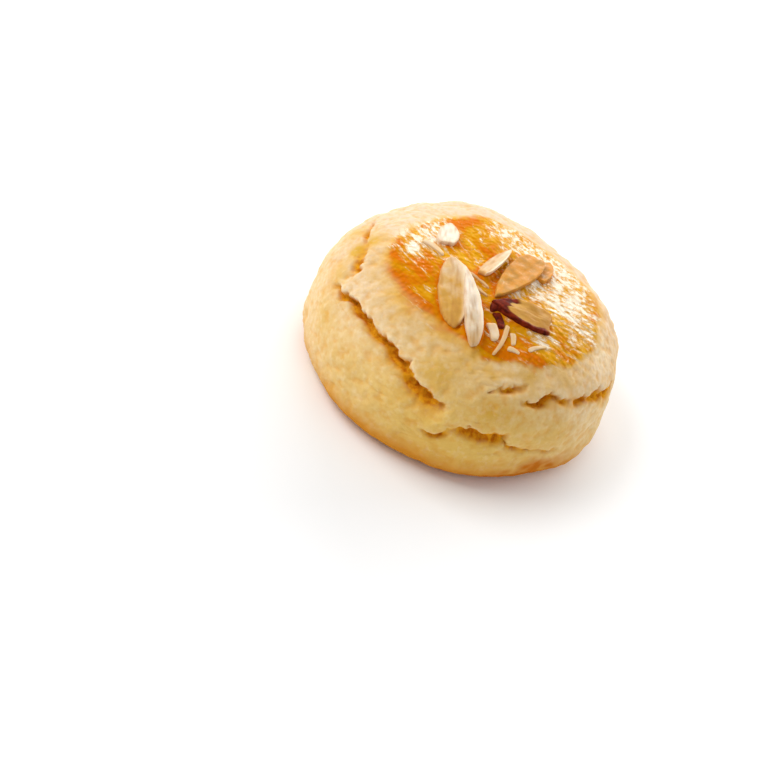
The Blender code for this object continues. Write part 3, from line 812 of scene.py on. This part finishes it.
def flake_rings(sizes, looks, underside):
    """A flake's rings from the middle of its underside round its rounded edge to the middle of its face.

    The rings are the outline drawn in to a share of its size, and the edge is half an ellipse. The face has
    fine lines along the kernel, and its right-hand margin curls up and, where it curls more, is painted
    paler, a painted highlight. With them come the marks of each point.
    """
    middle, length, width, heading, narrowing, snapped, _, _ = sizes
    curl, toast, glaze, skin = looks
    edge = np.linspace(-math.pi / 2, math.pi / 2, FLAKE_EDGE_ROWS)
    edge_start, bulge = FLAKE_EDGE
    shares = np.r_[
        np.linspace(0.1, 0.8, FLAKE_UNDER_ROWS),
        edge_start + bulge * np.cos(edge),
        np.linspace(0.87, 0.06, FLAKE_FACE_ROWS),
    ]
    climbs = np.r_[-np.ones(FLAKE_UNDER_ROWS), np.sin(edge), np.ones(FLAKE_FACE_ROWS)]
    turn = np.arange(FLAKE_AROUND) / FLAKE_AROUND * 2 * math.pi
    outline = almond_outline(turn, length, width, narrowing, snapped)
    centre = outline.mean(axis=0)
    along_edge = np.c_[outline, 0 * turn]
    chips = smooth_noise(along_edge + length, 1.3, 52) + 0.6 * smooth_noise(along_edge, 0.6, 53)
    outline = centre + (outline - centre) * (1 + FLAKE_CHIPS * chips[:, None])
    flat = centre + (outline - centre)[None] * shares[:, None, None]
    flat, plan = flat.reshape(-1, 2), placed(flat, middle, heading).reshape(-1, 2)
    grids = np.broadcast_arrays(climbs[:, None], shares[:, None], turn[None])
    climb, share, angle = (grid.ravel() for grid in grids)

    grain = smooth_noise(np.c_[flat[:, 0] / 5, flat[:, 1], 0 * share] + length, 0.45, 51)
    ahead, aside = 2 * flat[:, 0] / length, 2 * flat[:, 1] / width
    edge_share = aside / almond_side(ahead.clip(-0.95, 0.95), narrowing)
    margin = smooth_step(-edge_share, 0.45, 0.95) * (1 - np.abs(ahead) ** 3).clip(0)
    height = underside(*plan.T) + FLAKE_THICKNESS * (1 + climb) / 2
    height += curl * margin + FLAKE_GRAIN * grain * (climb > 0.9)

    degrees = np.degrees(angle)
    after_start, before_end = (degrees - skin[0]) % 360, (skin[1] - degrees) % 360
    kept = np.minimum(*(smooth_step(inside, 0, SKIN_FEATHER) for inside in (after_start, before_end)))
    kept = kept * (skin[1] > skin[0]) * (after_start < skin[1] - skin[0])
    from_tip = np.abs((degrees + 180) % 360 - 180)
    widest = np.where(angle < math.pi, *SKIN_FROM)
    on_face = np.clip(0.3 + 0.5 * from_tip / 60, 0, widest)
    bared = np.where(climb > 0.8, on_face, SKIN_FROM_BELOW) + 0.05 * grain
    marks = {
        "grain": grain,
        "toast": toast - 0.25 * ahead,
        "glaze": glaze + 0 * share,
        "rim": smooth_step(share, 0.7, 1.0),
        # Painted highlight: the curled margin is painted paler.
        "pale": margin * (curl > 0.15),
        "skin": kept * smooth_step(share - bared, 0, 0.06),
    }
    shape = (len(shares), FLAKE_AROUND)
    rings = np.c_[plan, height].reshape(*shape, 3)
    return rings, {name: np.clip(mark, -1, 1).reshape(shape) for name, mark in marks.items()}


def sliced_almond():
    """Sliced almond, cut from an oily kernel and toasted: satin ivory to tan, faintly translucent and lined.

    Its skin is thin and dark red-brown, and where wash ran over it, it is amber and glossy. Curled margins
    and the palest flakes are painted paler still, a painted highlight.
    """
    material, tree, shader = new_material("toasted_sliced_almond")
    place = add_node(tree, "TexCoord", {}).outputs["Object"]
    grain, toast, glaze, rim, pale, skin = (
        add_node(tree, "Attribute", {"attribute_name": name}).outputs["Fac"]
        for name in ("grain", "toast", "glaze", "rim", "pale", "skin")
    )
    clouds = patches(tree, place, 2.2, 3, 0.3, 0.7)
    ramp = add_node(tree, "ValToRGB", {}, Fac=weighted(tree, toast, [(clouds, 0.3)]))
    stops = ramp.color_ramp.elements
    stops[0].position, stops[0].color = 0.0, to_linear("#F0E2CE")
    stops[1].position, stops[1].color = 1.0, to_linear("#B08038")
    stops.new(0.3).color = to_linear("#DCC29E")
    stops.new(0.65).color = to_linear("#CF9F4C")
    lines = add_node(tree, "MapRange", {}, _0=grain, _1=0.1, _2=-0.9, _3=0.0, _4=0.6).outputs[0]
    run_over = patches(tree, place, 1.6, 3, 0.35, 0.6)
    glazed = add_node(tree, "Math", {"operation": "MULTIPLY"}, _0=glaze, _1=run_over).outputs[0]
    mottle = patches(tree, place, 0.8, 4, 0.3, 0.75)
    hull = layered(tree, to_linear("#3A0402"), [(mottle, 1.0, "#8C2C0C")])
    flake_layers = (
        (lines, 1.0, "#B57C38"),
        (rim, 0.3, "#C98F45"),
        # Painted highlight on the curled margins.
        (pale, 1.0, "#F6E6CC"),
        (glazed, 1.0, "#D88C20"),
        (skin, 1.0, hull),
    )
    fine = add_node(tree, "TexNoise", {}, Vector=place, Scale=1 / (0.5 * MILLIMETRE), Detail=2).outputs["Fac"]
    bump = add_node(tree, "Bump", {}, Strength=0.5, Distance=0.06 * MILLIMETRE, Height=fine).outputs["Normal"]
    finish = {
        "Base Color": layered(tree, ramp.outputs["Color"], flake_layers),
        "Roughness": 0.42,
        "Specular IOR Level": 0.08,
        "Coat Weight": add_node(tree, "Math", {"operation": "MULTIPLY"}, _0=glaze, _1=0.08).outputs[0],
        "Coat Roughness": 0.15,
        "Subsurface Weight": add_node(tree, "MapRange", {}, _0=skin, _3=0.25, _4=0.0).outputs[0],
        "Subsurface Radius": (1.0, 0.75, 0.45),
        "Subsurface Scale": 1.0 * MILLIMETRE,
        "Normal": bump,
    }
    set_sockets(tree, shader, finish)
    return material


almond_material = sliced_almond()
fallen = []
for name, sizes in FLAKES.items():
    fallen.append(laid_flake(*sizes, fallen[:]))
    flake = skin_of_rings(f"{name}_flake", *flake_rings(sizes, FLAKE_LOOKS[name], fallen[-1][0]))
    flake.data.materials.append(almond_material)
    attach(flake, "root")
    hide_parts(name)


# A strip of skin has come loose from the front edge of one flake and hangs down onto the wash. It runs over
# this stretch of the flake's outline, in degrees from its tip. It reaches forward by the least at its ends,
# and by as much more at its widest, which is this share of the way along it, as a bell of this spread.
TORN_SKIN_FLAKE = "almond_right"
TORN_SKIN_STRETCH = (-12, 100)
TORN_SKIN_REACH = (0.0, 1.5)
TORN_SKIN_WIDEST = (0.25, 0.16)
TORN_SKIN_THICKNESS = 0.4
TORN_SKIN_EDGE = (0.98, 0.65)  # it starts at these shares of the flake's outline and of its thickness
TORN_SKIN_SINK = 0.1
TORN_SKIN_ROWS = 60
TORN_SKIN_AROUND = 32


def torn_skin_rings(sizes, underside):
    """The strip of skin: a thin ellipse carried along the flake's edge, from there down to the wash."""
    middle, length, width, heading, narrowing, snapped, _, _ = sizes
    turn = np.radians(np.linspace(*TORN_SKIN_STRETCH, TORN_SKIN_ROWS))
    share = np.linspace(0, 1, TORN_SKIN_ROWS)
    outline = almond_outline(turn, length, width, narrowing, snapped)
    edge = placed(TORN_SKIN_EDGE[0] * outline, middle, heading)
    ragged = 0.5 * smooth_noise(np.c_[edge, 0 * share], 1.1, 55)
    least, most = TORN_SKIN_REACH
    widest, spread = TORN_SKIN_WIDEST
    reach = least + (most + ragged) * np.exp(-(((share - widest) / spread) ** 2))
    hem = edge - reach[:, None] * (0, 1)
    top = np.c_[edge, underside(*edge.T) + TORN_SKIN_EDGE[1] * FLAKE_THICKNESS]
    low = np.c_[hem, dough_height(*hem.T) - TORN_SKIN_SINK]
    run = np.gradient(top + low, axis=0)
    across = (top - low) / 2
    outward = np.cross(across, run)
    outward /= np.linalg.norm(outward, axis=1)[:, None]
    angle = np.arange(TORN_SKIN_AROUND) / TORN_SKIN_AROUND * 2 * math.pi
    taper = np.sin(math.pi * (0.02 + 0.96 * share)) ** 0.5
    thin = TORN_SKIN_THICKNESS / 2 * taper[:, None] * np.sin(angle)
    rings = (top + low)[:, None] / 2 + (across * taper[:, None])[:, None] * np.cos(angle)[:, None]
    rings += outward[:, None] * thin[..., None]
    wrinkles = 0.12 * smooth_noise(rings.reshape(-1, 3), 0.9, 56).reshape(rings.shape[:2])
    rings += wrinkles[..., None] * outward[:, None]
    levels = {"grain": 0, "toast": 1, "glaze": 0.1, "rim": 0, "pale": 0, "skin": 1}
    return rings, {name: np.full(rings.shape[:2], float(level)) for name, level in levels.items()}


torn_underside = fallen[list(FLAKES).index(TORN_SKIN_FLAKE)][0]
torn_skin = skin_of_rings("almond_right_torn_skin", *torn_skin_rings(FLAKES[TORN_SKIN_FLAKE], torn_underside))
torn_skin.data.materials.append(almond_material)
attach(torn_skin, "root")
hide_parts(TORN_SKIN_FLAKE)


def pool_wash(biscuit, flakes):
    """Lets the wash creep up round each flake and fill a narrow gap under it, and marks where it gathered.

    The mark deepens the wash's colour there, partly as painted shade beside and under the flakes.
    """
    mesh = biscuit.data
    numbers = np.empty(3 * len(mesh.vertices), np.float32)
    mesh.vertices.foreach_get("co", numbers)
    points = numbers.reshape(-1, 3) / MILLIMETRE
    top = np.flatnonzero(points[:, 2] > WASH_HEIGHTS[1])
    x, y, height = points[top].T
    # Where the wash gathers at a flake: partly real, and partly painted shade under and beside it.
    pooled_wash_and_shade = np.zeros(len(points), np.float32)
    for underside, outside in flakes:
        near = smooth_step(outside(x, y), WASH_CREEP, 0)
        gap = underside(x, y) + WASH_CLING - height
        points[top, 2] += np.clip(gap, 0, WASH_FILL) * near * (gap < 2 * WASH_FILL)
        pooled_wash_and_shade[top] = np.maximum(pooled_wash_and_shade[top], near * smooth_step(gap, 2 * WASH_FILL, 0))
        height = points[top, 2]
    mesh.vertices.foreach_set("co", (points * MILLIMETRE).astype(np.float32).ravel())
    mesh.attributes.new("pooled_wash_and_shade", "FLOAT", "POINT").data.foreach_set("value", pooled_wash_and_shade)
    mesh.update()


pool_wash(biscuit, fallen)

# -----------------------------------------------------------------------------------------------------------
# The almond slivers. Splinters and chips that broke off as the almonds were sliced, and a shred of their
# skin. They fell onto the wet wash with the flakes, and baked onto it.
# -----------------------------------------------------------------------------------------------------------

# Each sliver's middle (x, y), length, width, thickness and heading, how toasted, and how much skin it is.
SLIVERS = {
    "left": ((-10.9, -0.3), 4.8, 1.2, 0.9, -28, 0.0, 0),
    "middle_stick": ((-1.8, -3.9), 4.6, 0.7, 0.8, -20, 0.4, 0),
    "middle_chip": ((-0.7, -6.5), 2.4, 0.7, 0.8, -9, 0.4, 0),
    "skin": ((3.9, -10.8), 3.4, 1.6, 0.9, -56, 0.9, 1),
    "front": ((3.7, -13.7), 3.4, 2.0, 1.0, -60, 0.0, 0),
    "front_stick": ((5.5, -14.4), 6.8, 0.9, 0.9, -92, 0.3, 0),
    "front_chip": ((7.2, -13.0), 2.4, 1.1, 0.8, -68, 0.0, 0),
    "right_chip": ((8.0, -15.0), 2.2, 0.9, 0.8, 3, 0.0, 0),
    "right": ((11.5, -11.9), 4.0, 0.9, 0.8, 49, 0.1, 0),
}
SLIVER_SINK = 0.45
SLIVER_BOW = 0.06  # how far its middle bows out, as a share of its length
SLIVER_SQUARENESS = 0.45  # 1 is an oval across, and less is squarer
SLIVER_ROUGHNESS = 0.22
SLIVER_TILT_STEP = 1.5  # how far off the heights are read that tilt it
SLIVER_AROUND = 28
SLIVER_ROWS = 26


def sliver_rings(middle, length, width, thickness, heading, toast, skin):
    """A tapered splinter: a rounded oblong carried along a slightly bowed line, and drawn in at both ends."""
    x, y = middle
    step = SLIVER_TILT_STEP
    around = np.array([(x + step, y), (x - step, y), (x, y + step), (x, y - step), (x, y)], float)
    heights = dough_height(*around.T)
    normal = Vector((heights[1] - heights[0], heights[3] - heights[2], 2 * step)).normalized()
    ahead = Vector((math.cos(math.radians(heading)), math.sin(math.radians(heading)), 0))
    ahead = (ahead - ahead.dot(normal) * normal).normalized()
    axes = np.array([ahead, normal.cross(ahead), normal])
    centre = np.array([x, y, heights[4]]) + np.array(normal) * (thickness / 2 - SLIVER_SINK)

    walk = np.linspace(-1, 1, SLIVER_ROWS)
    turn = np.arange(SLIVER_AROUND) / SLIVER_AROUND * 2 * math.pi
    along, angle = (grid.ravel() for grid in np.meshgrid(walk, turn, indexing="ij"))
    blunt = np.sqrt(np.sqrt((1 - along**6).clip(0)))
    taper = (1 - 0.2 * (1 + along)) * blunt
    oval = np.array([np.cos(angle), np.sin(angle)])
    square = np.sign(oval) * np.abs(oval) ** SLIVER_SQUARENESS
    bow = SLIVER_BOW * length * (1 - along**2)
    local = np.c_[
        length / 2 * along,
        width / 2 * square[0] * taper + bow - SLIVER_BOW / 2 * length,
        thickness / 2 * square[1] * (1 - 0.1 * (1 + along)) * blunt,
    ]
    rough = smooth_noise(local * (0.4, 1, 1) + length, 0.7, 61)
    local[:, 1:] *= 1 + SLIVER_ROUGHNESS * rough[:, None]
    points = centre + local @ axes
    marks = {"grain": rough, "toast": toast + 0.25 + 0.3 * rough}
    for name, level in {"glaze": 0.1, "rim": 0, "pale": 0.3, "skin": skin}.items():
        marks[name] = np.full(len(points), float(level))
    shape = (SLIVER_ROWS, SLIVER_AROUND)
    return points.reshape(*shape, 3), {name: mark.reshape(shape) for name, mark in marks.items()}


for name, sizes in SLIVERS.items():
    sliver = skin_of_rings(f"almond_sliver_{name}", *sliver_rings(*sizes))
    sliver.data.materials.append(almond_material)
    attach(sliver, "root")
    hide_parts("biscuit")

# -----------------------------------------------------------------------------------------------------------
# The floor, the light and the camera. A matt white floor, a white room, and two softboxes: a long strip
# behind the biscuit, which makes the wash shine, and a broad one on the left.
# -----------------------------------------------------------------------------------------------------------

FLOOR_HALF = 1500.0
FLOOR_CORNERS = ((-1, -1), (1, -1), (1, 1), (-1, 1))
ROOM_STRENGTH = 0.58

floor_mesh = bpy.data.meshes.new("floor")
floor_mesh.from_pydata(
    [(x * FLOOR_HALF * MILLIMETRE, y * FLOOR_HALF * MILLIMETRE, 0) for x, y in FLOOR_CORNERS],
    [],
    [(0, 1, 2, 3)],
)
floor = bpy.data.objects.new("floor", floor_mesh)
bpy.context.scene.collection.objects.link(floor)
floor_material, floor_tree, floor_shader = new_material("matt_white_floor")
floor_shader.inputs["Base Color"].default_value = to_linear("#FAFAFA")
floor_shader.inputs["Roughness"].default_value = 0.9
floor_mesh.materials.append(floor_material)

world = bpy.data.worlds.new("studio")
world.use_nodes = True
world.node_tree.nodes["Background"].inputs["Color"].default_value = (1.0, 1.0, 1.0, 1.0)
world.node_tree.nodes["Background"].inputs["Strength"].default_value = ROOM_STRENGTH
bpy.context.scene.world = world
bpy.context.scene.view_settings.view_transform = "Standard"

# A softbox: its angle round the biscuit, its height angle and its distance; its width, height and power.
SOFTBOXES = {
    "back_strip": ((78, 25, 700), 1200, 40, 5.5),
    "left_softbox": ((180, 45, 800), 600, 500, 4.0),
}
for name, ((turn, climb, distance), width, height, power) in SOFTBOXES.items():
    light = bpy.data.lights.new(name, "AREA")
    light.shape = "RECTANGLE"
    light.size = width * MILLIMETRE
    light.size_y = height * MILLIMETRE
    light.energy = power
    lamp = bpy.data.objects.new(name, light)
    turn, climb = math.radians(turn), math.radians(climb)
    towards = Vector((math.cos(turn) * math.cos(climb), math.sin(turn) * math.cos(climb), math.sin(climb)))
    lamp.location = towards * distance * MILLIMETRE
    lamp.rotation_euler = towards.to_track_quat("Z", "Y").to_euler()
    bpy.context.scene.collection.objects.link(lamp)

# The camera looks down on the front, rolled clockwise, and the base's middle lies right of and above the
# middle of the photograph's frame of 768 pixels.
CAMERA_CLIMB = 41.0
CAMERA_ROLL = 24.8
CAMERA_DISTANCE = 372.5
CAMERA_LENS = 100.0
CAMERA_SENSOR = 36.0
CAMERA_CLIP_START = 0.01  # in metres
FRAME_PIXELS = 768
BASE_MIDDLE_PIXELS = (62.8, 14.8)

climb, roll = math.radians(CAMERA_CLIMB), math.radians(CAMERA_ROLL)
back = Vector((0, -math.cos(climb), math.sin(climb)))
level = Vector((1, 0, 0))
upright = Vector((0, math.sin(climb), math.cos(climb)))
camera_x = math.cos(roll) * level + math.sin(roll) * upright
camera_y = math.cos(roll) * upright - math.sin(roll) * level
pixel = CAMERA_DISTANCE * CAMERA_SENSOR / CAMERA_LENS / FRAME_PIXELS
place = back * CAMERA_DISTANCE
place -= camera_x * BASE_MIDDLE_PIXELS[0] * pixel
place -= camera_y * BASE_MIDDLE_PIXELS[1] * pixel
lens = bpy.data.cameras.new("camera")
lens.lens = CAMERA_LENS
lens.sensor_width = CAMERA_SENSOR
lens.clip_start = CAMERA_CLIP_START
camera = bpy.data.objects.new("camera", lens)
turned = Matrix((camera_x, camera_y, back)).transposed().to_4x4()
camera.matrix_world = Matrix.Translation(place * MILLIMETRE) @ turned
bpy.context.scene.collection.objects.link(camera)
bpy.context.scene.camera = camera
